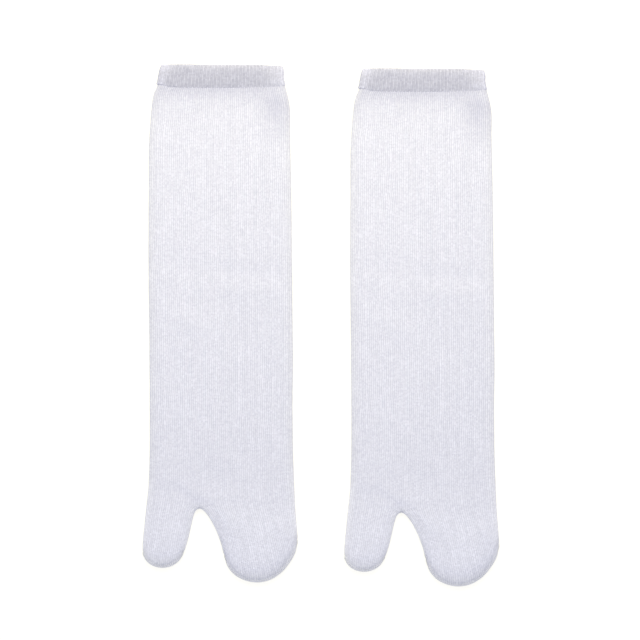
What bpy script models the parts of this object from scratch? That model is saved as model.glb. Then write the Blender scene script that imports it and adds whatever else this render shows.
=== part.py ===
"""A pair of plain knitted tabi socks, laid flat side by side with their toes towards -Y.

Each sock is a heel-less knitted tube that ends in two toe pockets, a narrow one for the
big toe and a wide one for the other four, under a double ribbed cuff. The cloth is a
wall: an outer and an inner surface that share one plan, with the upper panel lying just
above the lower one and a rounded fold all round. The underside is flat on the ground.

The sizes below are in millimetres, in a sock's own plan: "across" runs from the sock's
centre line, with the big toe on the negative side, and "along" runs from the cuff's top
edge towards the toes. The model itself is in metres, +Z up, and its origin is under the
middle of the pair.
"""

import math
from collections import namedtuple

import bmesh
import bpy
import numpy as np

MM = 0.001

# ---- Where the two socks lie ----
CENTRE_LINE_PITCH = 132.2
RIGHT_SOCK_LOWER_BY = 2.6
PAIR_LENGTH = 342.1
PAIR_SHIFT = 0.6  # the wide pockets' side reaches less far than the big toes' side

# ---- The cloth ----
BODY_WALL = 1.3
CUFF_WALL = 1.8
CUFF_HEIGHT = 15.6
SEAM_GAP = 0.3

# ---- The plan of the tube: half widths to each side of the centre line ----
Station = namedtuple("Station", "along left right")
TUBE = (
    Station(0.0, 39.0, 40.0),
    Station(3.5, 40.1, 40.8),
    Station(8.7, 41.0, 40.8),
    Station(14.0, 41.9, 41.7),
    Station(18.6, 44.0, 43.1),
    Station(26.4, 45.4, 44.8),
    Station(42.8, 46.8, 45.1),
    Station(88.8, 47.6, 46.1),
    Station(141.0, 47.6, 46.6),
    Station(193.7, 47.1, 47.1),
    Station(246.0, 46.9, 47.0),
    Station(275.7, 47.6, 47.9),
    Station(293.4, 49.5, 48.9),
    Station(305.2, 50.7, 49.8),
    Station(313.4, 51.5, 50.2),
    Station(322.0, 51.5, 50.2),
)
BIG_TOE_CORNER_ALONG = 321.4
WIDE_TOE_CORNER_ALONG = 313.4

# ---- The plan of the toe end, each path in order from its first corner ----
Place = namedtuple("Place", "across along")
CROTCH = Place(-14.1, 291.4)
BIG_TOE_ARC = (
    Place(-51.5, BIG_TOE_CORNER_ALONG),
    Place(-49.0, 325.5),
    Place(-44.7, 328.6),
    Place(-38.5, 329.9),
    Place(-32.8, 328.8),
    Place(-28.1, 325.7),
    Place(-25.0, 321.6),
)
BIG_TOE_INNER_EDGE = (
    BIG_TOE_ARC[-1],
    Place(-22.1, 313.4),
    Place(-19.6, 303.4),
    Place(-18.0, 296.9),
    Place(-16.7, 293.6),
    Place(-15.4, 291.9),
    CROTCH,
)
WIDE_TOE_INNER_EDGE = (
    CROTCH,
    Place(-12.8, 291.9),
    Place(-11.1, 293.3),
    Place(-8.2, 297.0),
    Place(-4.5, 303.4),
    Place(-0.6, 313.4),
    Place(2.1, 323.4),
)
WIDE_TOE_ARC = (
    WIDE_TOE_INNER_EDGE[-1],
    Place(4.4, 329.2),
    Place(8.6, 334.3),
    Place(15.0, 337.9),
    Place(23.2, 339.5),
    Place(31.0, 338.2),
    Place(38.8, 333.6),
    Place(44.1, 327.7),
    Place(48.3, 320.7),
    Place(50.2, WIDE_TOE_CORNER_ALONG),
)

# ---- Heights over the ground ----
EDGE_LEVEL = 1.9  # where the two panels meet in the side fold
FOLD_RUN = 2.6  # how far in from the edge the fold's round reaches
UNDERSIDE_RUN = 2.2
FOLD_HEIGHT = 3.7  # at the top of the fold's round
SLOPE_RUN = 13.0  # from the edge to where the upper panel lies level
SPLIT_DROP = 1.2  # the cloth lies lower round the split between the toes
SPLIT_REACH = 13.0
Height = namedtuple("Height", "along level")
UPPER_PANEL = (
    Height(0.0, 4.6),
    Height(15.0, 4.6),
    Height(32.0, 4.5),
    Height(60.0, 4.2),
    Height(250.0, 4.2),
    Height(276.0, 4.7),
    Height(296.0, 5.9),
    Height(312.0, 6.7),
    Height(345.0, 6.9),
)
CUFF_LEVEL = 4.9

# ---- The largest soft folds of the upper panel: ridges rise, troughs have a rise below 0 ----
Fold = namedtuple("Fold", "place start end rise breadth")
SOFT_FOLDS = (
    Fold("ankle trough, big toe side", Place(-34, 131), Place(0, 137), -0.4, 7),
    Fold("ankle trough, outer side", Place(4, 136), Place(42, 139), -0.45, 6),
    Fold("ankle ridge, outer side", Place(8, 149), Place(40, 147), 0.3, 6),
    Fold("instep crease", Place(-44, 157), Place(-10, 174), 0.3, 5),
    Fold("instep hollow", Place(6, 158), Place(12, 182), -0.4, 9),
    Fold("toe ridge, upper stretch", Place(-44, 267), Place(-14, 284), 0.4, 5.5),
    Fold("toe ridge, lower stretch", Place(-14, 284), Place(8, 301), 0.35, 5.5),
    Fold("hollow above the split", Place(-12, 264), Place(-3, 271), -0.35, 7),
    Fold("corner ridge", Place(37, 301), Place(47, 311), 0.4, 4),
    Fold("swell under the cuff", Place(18, 19), Place(36, 22), 0.4, 6),
    Fold("shoulder under the cuff", Place(38, 34), Place(46, 58), -0.8, 9),
)
FOLDS_FADE_OVER = 12.0  # from the edge inwards

# ---- How finely the shapes are divided ----
BIG_TOE_COLUMNS = 10
WIDE_TOE_COLUMNS = 14
POCKET_ROWS = 14
LEG_ROW_PITCH = 9.0
ROWS_ABOVE_CROTCH = (16.0, 9.5, 5.0, 2.0, 0.0)
INNER_ROW_STEP = 2  # the inside takes every second row
ROW_LIFT = 5.0  # how far rows rise from the crotch to the sides
ROW_LIFT_REACH = 9.0
COLUMNS_TURN_OVER = 70.0  # above the crotch the columns gather towards the split

# ---- The cuff's ribs ----
RIBS_PER_PANEL = 36
RIB_HEIGHT = 0.4
RIM_ROUND = 0.8

COTTON_WHITE = (0.86, 0.86, 0.90, 1.0)
CUFF_WHITE = (0.78, 0.78, 0.83, 1.0)


def smooth_step(value):
    """0 up to 0, 1 from 1 on, and an even slope between."""
    held = np.clip(value, 0.0, 1.0)
    return held * held * (3.0 - 2.0 * held)


def ease_out(value):
    """0 at 0, with its steepest slope there, and 1 from 1 on."""
    held = np.clip(value, 0.0, 1.0)
    return held * (2.0 - held)


def round_rise(share):
    """The quarter circle that a fold's height follows, from 0 at the edge to 1."""
    left = 1.0 - np.clip(share, 0.0, 1.0)
    return np.sqrt(np.maximum(0.0, 1.0 - left * left))


def through(knots, values, where):
    """Reads a smooth curve through the values at the knots."""
    knots, values = np.asarray(knots, float), np.asarray(values, float)
    slopes = np.gradient(values, knots)
    i = np.clip(np.searchsorted(knots, where) - 1, 0, len(knots) - 2)
    span = knots[i + 1] - knots[i]
    t = np.clip((where - knots[i]) / span, 0.0, 1.0)
    from_start = values[i] * (1.0 + 2.0 * t) + slopes[i] * span * t
    to_end = values[i + 1] * (3.0 - 2.0 * t) - slopes[i + 1] * span * (1.0 - t)
    return from_start * (1.0 - t) ** 2 + to_end * t**2


def column(table, name):
    return np.array([getattr(row, name) for row in table], float)


def path_through(places, spacing=0.8):
    """Points at an even spacing on a smooth path through the places."""
    corners = np.array(places, float)
    steps = np.linalg.norm(np.diff(corners, axis=0), axis=1)
    knots = np.concatenate([[0.0], np.cumsum(steps)])
    where = np.linspace(0.0, knots[-1], max(3, round(knots[-1] / spacing)))
    return np.stack([through(knots, corners[:, axis], where) for axis in (0, 1)], axis=1)


def side_path(side, last_along, spacing=2.0):
    """The tube's edge from the mouth down to a toe corner."""
    along = np.linspace(0.0, last_along, round(last_along / spacing))
    sign = -1.0 if side == "left" else 1.0
    return np.stack([sign * through(column(TUBE, "along"), column(TUBE, side), along), along], 1)


def edge_paths(inset=0.0):
    """The sock's edge as six named paths, moved inwards by the inset.

    They run from the mouth's left end down round both pockets and up to its right end,
    and neighbours share their end points.
    """
    stretches = {
        "left side": side_path("left", BIG_TOE_CORNER_ALONG),
        "big toe arc": path_through(BIG_TOE_ARC),
        "big toe inner edge": path_through(BIG_TOE_INNER_EDGE),
        "wide toe inner edge": path_through(WIDE_TOE_INNER_EDGE),
        "wide toe arc": path_through(WIDE_TOE_ARC),
        "right side": side_path("right", WIDE_TOE_CORNER_ALONG)[::-1],
    }
    joined = np.concatenate([path[:-1] for path in stretches.values()])
    joined = np.concatenate([joined, stretches["right side"][-1:]])
    heading = np.gradient(joined, axis=0)
    heading /= np.linalg.norm(heading, axis=1)[:, None]
    inwards = np.stack([heading[:, 1], -heading[:, 0]], axis=1)
    moved = joined + inset * inwards
    paths = {}
    first = 0
    for name, path in stretches.items():
        last = first + len(path) - 1
        paths[name] = moved[first : last + 1]
        first = last
    return paths


def edge_distance(points):
    """The distance in plan from each point to the sock's edge, the mouth left out."""
    edge = np.concatenate(list(edge_paths().values()))
    start, run = edge[:-1], np.diff(edge, axis=0)
    length = np.maximum((run * run).sum(1), 1e-12)
    flat = points.reshape(-1, 2)
    share = ((flat[:, None] - start) * run).sum(2) / length
    nearest = start + np.clip(share, 0.0, 1.0)[..., None] * run
    return np.linalg.norm(flat[:, None] - nearest, axis=2).min(1).reshape(points.shape[:-1])


def along_path(path, shares):
    """Points at the given shares of the path's length."""
    steps = np.linalg.norm(np.diff(path, axis=0), axis=1)
    run = np.concatenate([[0.0], np.cumsum(steps)])
    where = np.asarray(shares) * run[-1]
    return np.stack([np.interp(where, run, path[:, axis]) for axis in (0, 1)], axis=1)


def gathered(count):
    """Shares from 0 to 1 that lie closer together at both ends."""
    return (1.0 - np.cos(np.pi * np.arange(count + 1) / count)) / 2.0


def leg_rows(paths, stations):
    """Plan points of the tube, a row for each station, down to the crotch."""
    crotch = paths["wide toe inner edge"][0]
    left, right = paths["left side"], paths["right side"][::-1]
    even = gathered(BIG_TOE_COLUMNS + WIDE_TOE_COLUMNS)
    rows = []
    for station in stations:
        turn = float(smooth_step(1.0 - (crotch[1] - station) / COLUMNS_TURN_OVER))
        lift = ROW_LIFT * turn**2
        ends = [np.interp(station - lift, side[:, 1], side[:, 0]) for side in (left, right)]
        split = (crotch[0] - ends[0]) / (ends[1] - ends[0])
        halves = (
            gathered(BIG_TOE_COLUMNS)[:-1] * split,
            split + gathered(WIDE_TOE_COLUMNS) * (1.0 - split),
        )
        shares = (1.0 - turn) * even + turn * np.concatenate(halves)
        across = ends[0] + shares * (ends[1] - ends[0])
        away = 1.0 - np.exp(-np.abs(across - crotch[0]) / ROW_LIFT_REACH)
        most = np.where(across < crotch[0], away[0], away[-1])
        rows.append(np.stack([across, station - lift * away / most], axis=1))
    return np.array(rows)


def pocket_rows(top, first_side, last_side, arc, shares):
    """Plan points of a toe pocket, spread between its four edges."""
    rows = []
    across = np.linalg.norm(top - top[0], axis=1)
    across /= across[-1]
    bottom = along_path(arc, across)
    for share in shares:
        first, last = along_path(first_side, [share])[0], along_path(last_side, [share])[0]
        blend = across[:, None]
        ruled = (1.0 - share) * top + share * bottom
        sides = (1.0 - blend) * first + blend * last
        top_line = (1.0 - blend) * top[0] + blend * top[-1]
        bottom_line = (1.0 - blend) * bottom[0] + blend * bottom[-1]
        rows.append(ruled + sides - (1.0 - share) * top_line - share * bottom_line)
    return np.array(rows)


def plan(inset, row_step):
    """The plan of one wall surface as three grids: the tube and the two toe pockets."""
    paths = edge_paths(inset)
    crotch = paths["wide toe inner edge"][0]
    mouth = CUFF_HEIGHT + SEAM_GAP
    last_even = CROTCH.along - ROWS_ABOVE_CROTCH[0] - LEG_ROW_PITCH / 2.0
    even = np.linspace(mouth, last_even, round((last_even - mouth) / LEG_ROW_PITCH / row_step))
    near = crotch[1] - np.array(ROWS_ABOVE_CROTCH)[::row_step]
    leg = leg_rows(paths, np.concatenate([even, near]))

    def below(side):
        """The part of a side path below the crotch row."""
        end = leg[-1, 0] if side is paths["left side"] else leg[-1, -1]
        return np.concatenate([[end], side[side[:, 1] > end[1]]])

    shares = gathered(POCKET_ROWS // row_step)
    big_toe = pocket_rows(
        leg[-1, : BIG_TOE_COLUMNS + 1],
        below(paths["left side"]),
        paths["big toe inner edge"][::-1],
        paths["big toe arc"],
        shares,
    )
    right_side = paths["right side"][::-1]
    wide_toe = pocket_rows(
        leg[-1, BIG_TOE_COLUMNS:],
        paths["wide toe inner edge"],
        below(right_side),
        paths["wide toe arc"],
        shares,
    )
    return leg, big_toe, wide_toe


def soft_fold_rise(points):
    """The rise and fall of the upper panel's soft folds at the plan points."""
    total = np.zeros(points.shape[:-1])
    for fold in SOFT_FOLDS:
        start, run = np.array(fold.start, float), np.subtract(fold.end, fold.start)
        share = np.clip(((points - start) @ run) / (run @ run), 0.0, 1.0)
        distance = np.linalg.norm(points - (start + share[..., None] * run), axis=-1)
        total += fold.rise * np.exp(-((distance / fold.breadth) ** 2))
    return total


def upper_height(points, distance):
    """The height of the cloth's upper surface over the ground."""
    level = through(column(UPPER_PANEL, "along"), column(UPPER_PANEL, "level"), points[..., 1])
    to_crotch = np.linalg.norm(points - np.array(CROTCH), axis=-1)
    level -= SPLIT_DROP * np.exp(-((to_crotch / SPLIT_REACH) ** 2))
    height = EDGE_LEVEL + (FOLD_HEIGHT - EDGE_LEVEL) * round_rise(distance / FOLD_RUN)
    height += (level - FOLD_HEIGHT) * ease_out(distance / SLOPE_RUN)
    return height + soft_fold_rise(points) * smooth_step(distance / FOLDS_FADE_OVER)


def panel_heights(grid, panel, inset):
    """A grid's heights on the upper or the lower panel, on its outside or its inside."""
    distance = edge_distance(grid)
    if panel == "upper":
        level, run = upper_height(grid, distance) - inset, FOLD_RUN - inset
    else:
        level, run = inset, UNDERSIDE_RUN - inset
    if panel == "upper" and inset == 0.0:
        return level
    rise = round_rise(np.maximum(0.0, distance - inset) / run)
    return EDGE_LEVEL + (level - EDGE_LEVEL) * rise


def add_grid(mesh, points):
    """Adds a grid of points with a face between each four neighbours."""
    verts = [[mesh.verts.new(point) for point in row] for row in points]
    for upper, lower in zip(verts[:-1], verts[1:]):
        for i in range(len(upper) - 1):
            mesh.faces.new((upper[i], upper[i + 1], lower[i + 1], lower[i]))


def in_space(grid, heights):
    """Plan points and heights as points in metres, with the toes towards -Y."""
    return np.stack([grid[..., 0], -grid[..., 1], heights], axis=-1) * MM


def finish_mesh(mesh, name, material, location):
    """Welds the grids into one closed body and puts it in the scene."""
    bmesh.ops.remove_doubles(mesh, verts=mesh.verts, dist=0.00001)
    bmesh.ops.recalc_face_normals(mesh, faces=mesh.faces)
    data = bpy.data.meshes.new(name)
    mesh.to_mesh(data)
    mesh.free()
    data.materials.append(material)
    data.shade_smooth()
    data.set_sharp_from_angle(angle=math.radians(50))
    piece = bpy.data.objects.new(name, data)
    piece.location = location
    collection.objects.link(piece)
    return piece


def make_body(name, location):
    """The knitted tube with its two toe pockets, open at the mouth."""
    mesh = bmesh.new()
    mouths = []
    for inset, row_step in ((0.0, 1), (BODY_WALL, INNER_ROW_STEP)):
        for panel in ("upper", "lower"):
            leg, big_toe, wide_toe = plan(inset, row_step)
            for grid in (leg, big_toe, wide_toe):
                heights = panel_heights(grid, panel, inset)
                last_row = BIG_TOE_COLUMNS if grid is leg else slice(None)
                for edge in (np.s_[:, 0], np.s_[:, -1], np.s_[-1, last_row]):
                    heights[edge] = EDGE_LEVEL
                points = in_space(grid, heights)
                add_grid(mesh, points)
                if grid is leg:
                    mouths.append(points[0])
    outer_upper, outer_lower, inner_upper, inner_lower = mouths
    add_grid(mesh, [outer_upper, inner_upper])
    add_grid(mesh, [outer_lower, inner_lower])
    return finish_mesh(mesh, name, knit_material, location)


def cuff_ring(station, inset, ribbed):
    """A ring round the cuff: flat above and below, half round at its two folds."""
    left = through(column(TUBE, "along"), column(TUBE, "left"), station) - inset
    right = through(column(TUBE, "along"), column(TUBE, "right"), station) - inset
    radius = CUFF_LEVEL / 2.0 - inset
    straight = left + right - 2.0 * radius
    girth = 2.0 * straight + 2.0 * math.pi * radius
    count = 4 * RIBS_PER_PANEL
    ring = []
    for i in range(count):
        walked = girth * i / count
        outward = RIB_HEIGHT if ribbed and i % 2 else 0.0
        if walked < straight:
            across, angle = -left + radius + walked, math.pi / 2.0
        elif walked < straight + math.pi * radius:
            across, angle = right - radius, math.pi / 2.0 - (walked - straight) / radius
        elif walked < 2.0 * straight + math.pi * radius:
            across = right - radius - (walked - straight - math.pi * radius)
            angle = -math.pi / 2.0
        else:
            across = -left + radius
            angle = -math.pi / 2.0 - (walked - 2.0 * straight - math.pi * radius) / radius
        if math.sin(angle) < 0.0:
            outward = 0.0
        reach = radius + outward
        ring.append(
            (
                across + reach * math.cos(angle),
                -station,
                CUFF_LEVEL / 2.0 + reach * math.sin(angle),
            )
        )
    return np.array(ring + ring[:1]) * MM


def make_cuff(name, location):
    """The double ribbed welt, with a turned rim at the top and a plain inside."""
    lowest, highest = CUFF_HEIGHT, RIM_ROUND
    middle = (lowest + highest) / 2.0
    rings = [
        cuff_ring(lowest, 0.0, True),
        cuff_ring(middle, 0.0, True),
        cuff_ring(highest, 0.0, True),
        cuff_ring(0.0, CUFF_WALL / 2.0, False),
        cuff_ring(highest, CUFF_WALL, False),
        cuff_ring(lowest, CUFF_WALL, False),
    ]
    mesh = bmesh.new()
    add_grid(mesh, rings + rings[:1])
    return finish_mesh(mesh, name, rib_material, location)


def cotton(name, colour, roughness):
    """A matte cotton finish."""
    material = bpy.data.materials.new(name)
    material.use_nodes = True
    shader = material.node_tree.nodes["Principled BSDF"]
    shader.inputs["Base Color"].default_value = colour
    shader.inputs["Roughness"].default_value = roughness
    shader.inputs["Metallic"].default_value = 0.0
    return material


for old in list(bpy.data.objects):
    bpy.data.objects.remove(old, do_unlink=True)

collection = bpy.data.collections.new("pair_of_tabi_socks")
bpy.context.scene.collection.children.link(collection)
knit_material = cotton("knitted_cotton", COTTON_WHITE, 0.9)
rib_material = cotton("ribbed_cotton", CUFF_WHITE, 0.92)

mouth_y = PAIR_LENGTH / 2.0
for sock, side, drop in (("left", -1, 0.0), ("right", 1, RIGHT_SOCK_LOWER_BY)):
    place = (
        (side * CENTRE_LINE_PITCH / 2.0 + PAIR_SHIFT) * MM,
        (mouth_y - drop) * MM,
        0.0,
    )
    make_body(f"{sock}_sock_body", place)
    make_cuff(f"{sock}_sock_cuff", place)
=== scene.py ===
# %% [markdown]
# # A pair of knitted tabi socks, laid flat
# A tabi sock is a knitted tube that ends in two toe pockets, a narrow one for the big toe
# and a wide one for the other four, so that a sandal's thong fits between them. This pair
# has no heel: the tube runs straight from the ribbed cuff to the toes, and either sock
# fits either foot. The lesson builds the cloth stitch column by stitch column, because a
# knit is made of such columns (a knitter calls them wales) and rows (courses).
#
# The plain solids come packed from the frame. They give the place and size of each sock,
# and the cloth made here stands in for them.

# %% Load the frame
import math
from collections import namedtuple
from functools import partialmethod

import bpy
import numpy as np
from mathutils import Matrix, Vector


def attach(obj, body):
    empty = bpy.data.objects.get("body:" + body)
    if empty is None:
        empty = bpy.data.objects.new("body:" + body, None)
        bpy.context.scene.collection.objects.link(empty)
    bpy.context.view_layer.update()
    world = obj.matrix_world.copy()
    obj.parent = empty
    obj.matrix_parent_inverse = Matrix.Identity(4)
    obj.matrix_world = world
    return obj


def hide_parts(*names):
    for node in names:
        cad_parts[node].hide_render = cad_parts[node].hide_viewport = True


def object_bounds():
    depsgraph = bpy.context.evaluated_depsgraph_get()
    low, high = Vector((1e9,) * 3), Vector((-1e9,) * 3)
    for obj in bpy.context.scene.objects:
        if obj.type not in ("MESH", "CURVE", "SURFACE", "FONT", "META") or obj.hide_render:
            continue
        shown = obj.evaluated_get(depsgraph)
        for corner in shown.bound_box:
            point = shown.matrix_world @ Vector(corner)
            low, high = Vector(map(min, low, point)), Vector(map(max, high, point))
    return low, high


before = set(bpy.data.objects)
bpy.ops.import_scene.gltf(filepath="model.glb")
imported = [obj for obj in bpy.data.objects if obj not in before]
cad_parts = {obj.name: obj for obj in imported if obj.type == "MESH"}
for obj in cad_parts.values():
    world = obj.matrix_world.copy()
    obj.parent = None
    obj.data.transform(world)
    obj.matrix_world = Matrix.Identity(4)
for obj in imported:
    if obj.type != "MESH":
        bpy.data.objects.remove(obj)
cad_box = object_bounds()
scene = bpy.context.scene
MM = 0.001  # plans and heights below are in millimetres, as on a knitter's sheet
print("solids:", sorted(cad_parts))
print("size of the solids in mm:", [round(x / MM, 1) for x in cad_box[1] - cad_box[0]])

# %% [markdown]
# ## The view
# Flat socks are shown from straight above. A long lens far away keeps both socks free of
# perspective, so their outlines stay true. The camera looks down its own -Z with +Y up,
# which is already the way the socks lie, so it needs no rotation.

# %% The camera
VIEW_ACROSS = 419.9 * MM
VIEW_CENTRE = (-0.7 * MM, 3.7 * MM)
EDGE_LEVEL = 1.9  # height of the socks' side folds, where the outline is

camera_data = bpy.data.cameras.new("camera")
camera_data.lens = 100.0
camera_data.sensor_width = 36.0
camera = bpy.data.objects.new("camera", camera_data)
camera_height = VIEW_ACROSS * camera_data.lens / camera_data.sensor_width + EDGE_LEVEL * MM
camera.location = (*VIEW_CENTRE, camera_height)
scene.collection.objects.link(camera)
scene.camera = camera
print("camera height in m:", round(camera_height, 3))

# %% [markdown]
# ## The plan of one sock
# Seen from above, a sock is an outline: two long sides, and a rounded end on each toe
# pocket with the split between them. The sides come from a short table of half widths,
# and the toe end from a few places joined by smooth curves. "Across" runs from the sock's
# centre line, with the big toe on the negative side, and "along" runs from the cuff's top
# edge to the toes. These are the solids' sizes, except that the split is rounder by up
# to half a millimetre.

# %% The sides of the tube
CUFF_HEIGHT = 15.6
Station = namedtuple("Station", "along left right")
TUBE = (
    Station(0.0, 39.0, 40.0),
    Station(3.5, 40.1, 40.8),
    Station(8.7, 41.0, 40.8),
    Station(14.0, 41.9, 41.7),
    Station(18.6, 44.0, 43.1),
    Station(26.4, 45.4, 44.8),
    Station(42.8, 46.8, 45.1),
    Station(88.8, 47.6, 46.1),
    Station(141.0, 47.6, 46.6),
    Station(193.7, 47.1, 47.1),
    Station(246.0, 46.9, 47.0),
    Station(275.7, 47.6, 47.9),
    Station(293.4, 49.5, 48.9),
    Station(305.2, 50.7, 49.8),
    Station(313.4, 51.5, 50.2),
    Station(322.0, 51.5, 50.2),
)

# %% The toe end
Place = namedtuple("Place", "across along")
CROTCH = Place(-14.1, 291.1)
BIG_TOE_ARC = (
    Place(-51.5, 321.4),
    Place(-49.0, 325.5),
    Place(-44.7, 328.6),
    Place(-38.5, 329.9),
    Place(-32.8, 328.8),
    Place(-28.1, 325.7),
    Place(-25.1, 321.6),
)
BIG_TOE_INNER_EDGE = (
    BIG_TOE_ARC[-1],
    Place(-22.3, 313.4),
    Place(-19.9, 303.4),
    Place(-18.3, 296.7),
    Place(-17.1, 293.2),
    Place(-15.7, 291.6),
    CROTCH,
)
WIDE_TOE_INNER_EDGE = (
    CROTCH,
    Place(-12.7, 291.5),
    Place(-10.9, 292.9),
    Place(-7.9, 296.7),
    Place(-4.3, 303.3),
    Place(-0.4, 313.3),
    Place(2.2, 323.4),
)
WIDE_TOE_ARC = (
    WIDE_TOE_INNER_EDGE[-1],
    Place(4.4, 329.2),
    Place(8.6, 334.3),
    Place(15.0, 337.9),
    Place(23.2, 339.5),
    Place(31.0, 338.2),
    Place(38.8, 333.6),
    Place(44.1, 327.7),
    Place(48.3, 320.7),
    Place(50.2, 313.4),
)
BIG_TOE_TIP, WIDE_TOE_TIP = BIG_TOE_ARC[3].along, WIDE_TOE_ARC[4].along
print("a sock is", WIDE_TOE_TIP, "mm long from cuff to toe tip")

# %% [markdown]
# ## Smooth curves from a few numbers
# A table with a row every few centimetres would give a sock with corners. Blender's curve
# objects could round it, but then a width at any given place is hard to ask for. So a
# cubic curve runs through the rows, with each row's slope taken from its neighbours.


# %% Curves through a table
def through(knots, values, where):
    """Reads a smooth curve through the values at the knots."""
    knots, values = np.asarray(knots, float), np.asarray(values, float)
    slopes = np.gradient(values, knots)
    i = np.clip(np.searchsorted(knots, where) - 1, 0, len(knots) - 2)
    span = knots[i + 1] - knots[i]
    t = np.clip((where - knots[i]) / span, 0.0, 1.0)
    from_start = values[i] * (1.0 + 2.0 * t) + slopes[i] * span * t
    to_end = values[i + 1] * (3.0 - 2.0 * t) - slopes[i + 1] * span * (1.0 - t)
    return from_start * (1.0 - t) ** 2 + to_end * t**2


def read(table, name, along):
    """A table's smooth curve, read at any place along the sock."""
    knots = [row.along for row in table]
    return through(knots, [getattr(row, name) for row in table], along)


def half_width(side, along):
    return read(TUBE, side, along)


print("width half way down in mm:", half_width("left", 170.0) + half_width("right", 170.0))


# %% Curves through places in the plan
def lengths_along(path):
    """How far along the path each of its points lies."""
    steps = np.linalg.norm(np.diff(path, axis=0), axis=1)
    return np.concatenate([[0.0], np.cumsum(steps)])


def path_through(places, spacing=0.6):
    """Points at an even spacing on a smooth path through the places."""
    corners = np.array(places, float)
    knots = lengths_along(corners)
    where = np.linspace(0.0, knots[-1], max(3, round(knots[-1] / spacing)))
    return np.stack([through(knots, values, where) for values in corners.T], axis=1)


def walk(path, shares):
    """Points at the given shares of a path's length."""
    run = lengths_along(path)
    where = np.asarray(shares) * run[-1]
    return np.stack([np.interp(where, run, values) for values in path.T], axis=1)


def gathered(count):
    """Shares from 0 to 1 that lie closer together at both ends."""
    return (1.0 - np.cos(np.pi * np.arange(count + 1) / count)) / 2.0


print("mm round the wide toe:", lengths_along(path_through(WIDE_TOE_ARC))[-1].round(1))


# %% Soft steps
def held(value):
    return np.clip(value, 0.0, 1.0)


def smooth_step(value, low=0.0, high=1.0):
    """0 up to low, 1 from high on, and a smooth rise between."""
    share = held((value - low) / (high - low))
    return share * share * (3.0 - 2.0 * share)


def ease_out(value):
    """0 at 0, with its steepest slope there, and 1 from 1 on."""
    share = held(value)
    return share * (2.0 - share)


def round_rise(share):
    """A quarter circle's height, from 0 at the edge to 1."""
    left = 1.0 - held(share)
    return np.sqrt(np.maximum(0.0, 1.0 - left * left))


# %% [markdown]
# ## The outline, and how far a point is from it
# The cloth folds over at the outline, so its height depends on how far a point lies from
# the edge. The six stretches of the outline are joined into one line, which can also be
# moved inwards by the cloth's thickness: that gives the inside of the sock.


# %% The outline
def inwards(path):
    """The direction into the sock at each point of a line that runs round it."""
    heading = np.gradient(path, axis=0)
    heading /= np.linalg.norm(heading, axis=1)[:, None]
    return np.stack([heading[:, 1], -heading[:, 0]], axis=1)


def side_path(side, last_along, spacing=2.0):
    along = np.linspace(0.0, last_along, round(last_along / spacing))
    sign = -1.0 if side == "left" else 1.0
    return np.stack([sign * half_width(side, along), along], axis=1)


def edge_paths(inset=0.0):
    """The outline from the mouth's left end round both pockets to its right end."""
    stretches = {
        "left side": side_path("left", BIG_TOE_ARC[0].along),
        "big toe arc": path_through(BIG_TOE_ARC),
        "big toe inner edge": path_through(BIG_TOE_INNER_EDGE),
        "wide toe inner edge": path_through(WIDE_TOE_INNER_EDGE),
        "wide toe arc": path_through(WIDE_TOE_ARC),
        "right side": side_path("right", WIDE_TOE_ARC[-1].along)[::-1],
    }
    joined = np.concatenate([path[:-1] for path in stretches.values()])
    joined = np.concatenate([joined, stretches["right side"][-1:]])
    moved = joined + inset * inwards(joined)
    paths = {}
    first = 0
    for name, path in stretches.items():
        last = first + len(path) - 1
        paths[name] = moved[first : last + 1]
        first = last
    return paths


print("points on the outline:", sum(len(path) for path in edge_paths().values()))


# %% Distance from the outline
def distance_from(edge, rows):
    """Each plan point's distance from a line, one row at a time to save memory."""
    start, run = edge[:-1], np.diff(edge, axis=0)
    length = np.maximum((run * run).sum(1), 1e-9)
    distances = []
    for row in rows:
        share = ((row[:, None] - start) * run).sum(2) / length
        nearest = start + held(share)[..., None] * run
        distances.append(np.linalg.norm(row[:, None] - nearest, axis=2).min(1))
    return np.array(distances)


def edge_distance(rows):
    return distance_from(np.concatenate(list(edge_paths().values())), rows)


print("mm from the crotch to the outline:", edge_distance(np.array([[CROTCH]])).round(2)[0, 0])

# %% [markdown]
# ## How high the cloth lies
# A sock on a table is two layers of knit with a little air in between. At the sides the
# cloth turns over in a tight round fold. From there it rises gently, and the toe pockets,
# where seams and rounding make the cloth stiff, stand higher than the leg. On top of this
# lie a few soft folds: ridges where cloth is spare, and hollows beside them. Each is a
# line with a height and a breadth. A cloth simulation could make folds too, but it would
# not put them in chosen places.

# %% Heights over the ground
FOLD_RUN = 2.6  # how far in from the edge the fold's round reaches
UNDERSIDE_RUN = 2.2
FOLD_HEIGHT = 3.7  # at the top of the fold's round
SLOPE_RUN = 13.0  # from the edge to where the upper panel lies level
CUFF_FOLD_HEIGHT, CUFF_FOLD_FADES = 4.5, 20.0  # under the cuff the fold is as round as it
TOE_FOLD_HEIGHT, TOE_FOLD_RUN = 4.5, 3.8  # seamed toes stand rounder at their edges
TOES_FROM, TOES_TO = 298.0, 318.0
SPLIT_FOLD_HEIGHT, SPLIT_FOLD_RUN = 3.9, 1.8  # between the toes the fold is tighter
SPLIT_DROP, SPLIT_REACH = 0.6, 13.0  # and the cloth round the split lies lower
Height = namedtuple("Height", "along level")
UPPER_PANEL = (
    Height(0.0, 4.6),
    Height(15.0, 4.6),
    Height(32.0, 4.5),
    Height(60.0, 4.2),
    Height(250.0, 4.2),
    Height(276.0, 4.7),
    Height(296.0, 5.9),
    Height(312.0, 6.7),
    Height(345.0, 6.9),
)

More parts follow.
